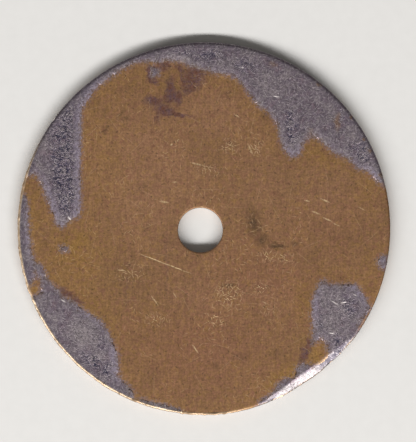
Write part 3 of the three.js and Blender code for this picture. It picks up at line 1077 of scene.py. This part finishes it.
# where brass glows through
WORN_THROUGH = [
    (18.1, 14.6, 0.7, 1.9, 0, 0.65),
    (9.4, 22.4, 1, 0.7, 0, 0.5),
    (15.7, 19.6, 0.5, 0.35, -45, 1),
    (20.1, 15.1, 0.5, 0.4, -40, 1),
    (21.8, 12.1, 0.45, 0.35, -60, 1),
    (22.5, 10.6, 0.5, 0.3, -60, 1),
    (24, 7.2, 0.6, 0.45, -70, 1),
    (-23, -6, 1, 0.35, -60, 0.6),
    (15.4, -16, 0.8, 0.5, 0, 0.7),
    (14.5, 12.8, 1.2, 1.4, 0, 0.45),
]
PLATE_SCRATCHES = [
    (9.3, 18.05, 10.3, 17.9, 0.12, 0.8),
    (16.9, -14.25, 17.8, -14.4, 0.13, 0.8),
    (17, -9.7, 18.5, -10.6, 0.12, 0.6),
    (18.5, -10.2, 19.5, -10.05, 0.12, 0.8),
    (20.2, -8.9, 20.9, -9.3, 0.1, 0.6),
    (-19.6, -9.7, -18.9, -10.1, 0.12, 0.8),
    (5, 21.9, 5.4, 21.9, 0.12, 0.6),
    (-18.6, 1.6, -18.2, 1.1, 0.16, 0.9),
    (-20.8, 14.6, -20.4, 15.1, 0.18, 1),
]
PLATE_SCRATCHES = [line_mark(*ends) for ends in PLATE_SCRATCHES]

# %% Build the plating material
plating, tree, shader, place = new_material("Worn dull nickel plate")

wear = {"Vector": place, "Scale": 1 / PLATE_CLOUDS, "Detail": 5, "Roughness": 0.65}
clouds = add(tree, "TexNoise", wear)
specks = {"Vector": place, "Scale": 1 / PLATE_SPECKS, "Detail": 3, "Roughness": 0.8}
speckle = add(tree, "TexNoise", specks)
corrosion = {"Vector": place, "Scale": 1 / PIT_CURLS, "Detail": 3, "Roughness": 0.65}
corrosion["Distortion"] = 1.6
curls = add(tree, "TexNoise", corrosion)
grain = streaky(tree, place, PLATE_GRAIN)
ragged = pushed_about(tree, place, *RAGGED_PLATE)
wavy = pushed_about(tree, place, *WAVY_HAIRS)
rub_and_highlight = add(tree, "Attribute", output="Fac", attribute_name=RUBBED_HIGHLIGHT_ATTRIBUTE)

# The border wanders and breaks up, because the distance to it is disturbed before it is used.
edge = add(tree, "Attribute", output="Fac", attribute_name=EDGE_ATTRIBUTE)
wander = add(tree, "MapRange", {0: clouds, 1: 0.25, 2: 0.75, 3: -0.35, 4: 0.35})
inset = add(tree, "Math", {0: edge, 1: wander}, operation="ADD")
inside = add(tree, "MapRange", {0: inset, 1: 0.3, 2: 1.3})
bands = zone_mask(tree, ragged, LIGHT_BANDS, 0, 0.5, 0.15, 0.9)
band = add(tree, "MapRange", {0: inset, 1: 1.1, 2: 0.4})
band = add(tree, "Math", {0: band, 1: bands}, operation="MULTIPLY")
thin = add(tree, "Math", {0: 1.0, 1: coverage(tree, place, edge)}, operation="SUBTRACT")

# Pits, paler and pinker clouds, brass glowing through, and darker patches on the knocked flat.
zone = zone_mask(tree, ragged, PITTED, 0.05, 0.5, 0.3)
pits = add(tree, "MapRange", {0: curls, 1: 0.57, 2: 0.43})
pits = add(tree, "Math", {0: pits, 1: inside}, operation="MULTIPLY")
pits = add(tree, "Math", {0: pits, 1: zone}, operation="MULTIPLY")
light = add(tree, "MapRange", {0: clouds, 1: 0.45, 2: 0.65, 4: 0.7})
pinkish = add(tree, "MapRange", {0: clouds, 1: 0.46, 2: 0.3, 4: 0.35})
pale = zone_mask(tree, ragged, PALE, 0.05, 0.7, 0, 0.8)
through = zone_mask(tree, ragged, WORN_THROUGH, 0.1, 0.7, 0, 0.8)
# Darker patches that cut back the painted highlight on the knocked flat, in the painted shade colour.
flat_dark = zone_mask(tree, ragged, FLAT_DARK_PATCHES, 0, 0.4, 0, 0.85)
flat_dark = add(tree, "Math", {0: flat_dark, 1: rub_and_highlight}, operation="MULTIPLY")
layers = [(light, PLATE_LIGHT), (pinkish, PLATE_PINK), (pale, PLATE_LIGHT), (band, PLATE_EDGE)]
layers += [(pits, PLATE_DARK), (through, BRASS_THROUGH), (thin, BRASS_THROUGH)]
colour = layered(tree, PLATE_GREY, layers)

colour = shaded(tree, colour, speckle, 0.28, 0.72, 0.5, 1.55)
colour = shaded(tree, colour, grain, 0.3, 0.7, 0.9, 1.1)

# Scratches, the rubbed rim with its painted highlight, and a band of painted shade beside it.
hairs = scratch_field(tree, wavy, *PLATE_HAIRS)
nicks = scratch_field(tree, place, *PLATE_NICKS)
placed = zone_mask(tree, place, PLATE_SCRATCHES, 0.1, 0.6)
# The rubbed rim and the knocked flat take a lighter polished colour, a painted highlight as well as rubbed
# plating.
scuffed_highlight = add(tree, "MapRange", {0: clouds, 1: 0.3, 2: 0.7, 3: -0.45, 4: 0.45})
scuffed_highlight = add(tree, "Math", {0: rub_and_highlight, 1: scuffed_highlight}, operation="ADD")
scuffed_highlight = add(tree, "MapRange", {0: scuffed_highlight, 1: 0.3, 2: 0.75})
rubbed_highlight = add(tree, "MapRange", {0: speckle, 1: 0.38, 2: 0.56, 3: 0.3, 4: 1.0})
rubbed_highlight = add(tree, "Math", {0: rubbed_highlight, 1: scuffed_highlight}, operation="MULTIPLY")
rubbed_highlight = add(tree, "Math", {0: rubbed_highlight, 1: pits}, operation="SUBTRACT", use_clamp=True)
height = add(tree, "SeparateXYZ", {0: place}, output="Z")
start, end = (FRONT / MM - depth for depth in WORN_OFF_BELOW)
lowest = add(tree, "MapRange", {0: height, 1: start, 2: end})
lowest = add(tree, "Math", {0: lowest, 1: rub_and_highlight}, operation="MULTIPLY")
radius = from_axis(tree, place)
# A band of painted shade just inside the rim.
start, end = (RADIUS / MM - inset for inset in RIM_SHADE_FROM)
rim_shade = add(tree, "MapRange", {0: radius, 1: start, 2: end, 4: 0.35})
# A thin painted highlight in a light brass colour lines the outermost rim where it is rubbed.
start, end = (RADIUS / MM - inset for inset in RIM_HIGHLIGHT_FROM)
bare_rim_highlight = add(tree, "MapRange", {0: radius, 1: start, 2: end})
bare_rim_highlight = add(tree, "Math", {0: bare_rim_highlight, 1: rub_and_highlight}, operation="MULTIPLY")
layers = [(rim_shade, RIM_SHADE), (rubbed_highlight, POLISHED_PLATE_HIGHLIGHT), (bare_rim_highlight, RIM_HIGHLIGHT)]
layers += [(flat_dark, RIM_SHADE), (lowest, BRASS_THROUGH)]
layers += [(nicks, PLATE_DARK), (hairs, GLINT), (placed, GLINT)]
colour = layered(tree, colour, layers)

smooth, coarse = DULL_PLATE_ROUGHNESS
dull = add(tree, "MapRange", {0: pits, 2: 1.0, 3: smooth, 4: coarse})
rough = add(tree, "Mix", {0: rubbed_highlight, 2: dull, 3: RUBBED_PLATE_ROUGHNESS}, data_type="FLOAT")
relief = add(tree, "Math", {0: speckle, 1: pits}, operation="SUBTRACT")
bump = add(tree, "Bump", {"Height": relief, "Strength": 0.5, "Distance": 0.03 * MM})
finish_metal(tree, shader, colour, rough, bump)
print(plating.name, len(tree.nodes), "nodes")

# %% Give every piece its material and its body
for piece, material, slot in [(blank, brass, "brass"), *[(p, plating, "plating") for p in plates]]:
    piece.data.materials.clear()
    piece.data.materials.append(material)
    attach(piece, "root")
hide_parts("brass_disc")
print("pieces:", 1 + len(plates))

# %% [markdown]
# ## The table, the light and the camera
#
# The button lies on a plain pale surface, seen from straight above. A long, low softbox on the near
# side rakes over it from the lower left, so that the rolled edge, the knocked flat and the hole's
# mouth light up on that side and a soft shadow falls beyond the far rim. A pale world fills in the
# rest, because a rough metal shows nothing but what surrounds it.

# %% The table
TABLE_SIZE = 1.6
CARD_FIBRES = 1.5  # size of its mottling in millimetres

bpy.ops.mesh.primitive_plane_add(size=TABLE_SIZE, location=(0, 0, 0))
table = bpy.context.object
table.name = "table"
matte, tree, shader, place = new_material("Pale matte card")
fibre = add(tree, "TexNoise", {"Vector": place, "Scale": 1 / CARD_FIBRES, "Detail": 4})
tint = layered(tree, linear("#d0cecb"), [(fibre, linear("#d6d4d1"))])
tree.links.new(tint, shader.inputs["Base Color"])
shader.inputs["Roughness"].default_value = 0.85
table.data.materials.append(matte)

# %% The light
SOFTBOX_HEIGHT = 1.10
SOFTBOX_NEAR = -0.86
SOFTBOX_LEFT = -2.50
SOFTBOX_RIGHT = 1.15
SOFTBOX_WIDTH = 0.23
SOFTBOX_POWER = 49.6
WORLD_STRENGTH = 0.2

lamp = bpy.data.lights.new("long_softbox", "AREA")
lamp.shape = "RECTANGLE"
lamp.size = SOFTBOX_RIGHT - SOFTBOX_LEFT
lamp.size_y = SOFTBOX_WIDTH
lamp.energy = SOFTBOX_POWER
softbox = bpy.data.objects.new("long_softbox", lamp)
softbox.location = ((SOFTBOX_LEFT + SOFTBOX_RIGHT) / 2, SOFTBOX_NEAR, SOFTBOX_HEIGHT)
aim = Vector((0, SOFTBOX_NEAR, SOFTBOX_HEIGHT))
softbox.rotation_euler = aim.to_track_quat("Z", "Y").to_euler()
softbox.visible_camera = False
scene.collection.objects.link(softbox)

world = bpy.data.worlds.new("pale_room")
world.use_nodes = True
background = world.node_tree.nodes["Background"]
background.inputs["Color"].default_value = linear("#f4f2ee")
background.inputs["Strength"].default_value = WORLD_STRENGTH
scene.world = world
scene.view_settings.view_transform = "Standard"

# %% The camera
FRAME_HEIGHT = 60.28 * MM
AIM = Vector((0.49 * MM, 1.0 * MM, FRONT))
LENS = 800.0
SENSOR = 36.0

view_camera = bpy.data.cameras.new("camera")
view_camera.lens = LENS

view_camera.sensor_width = SENSOR
camera = bpy.data.objects.new("camera", view_camera)
camera.location = AIM + Vector((0, 0, FRAME_HEIGHT * LENS / SENSOR))
scene.collection.objects.link(camera)
scene.camera = camera
print("camera height:", round(camera.location.z, 3), "m")
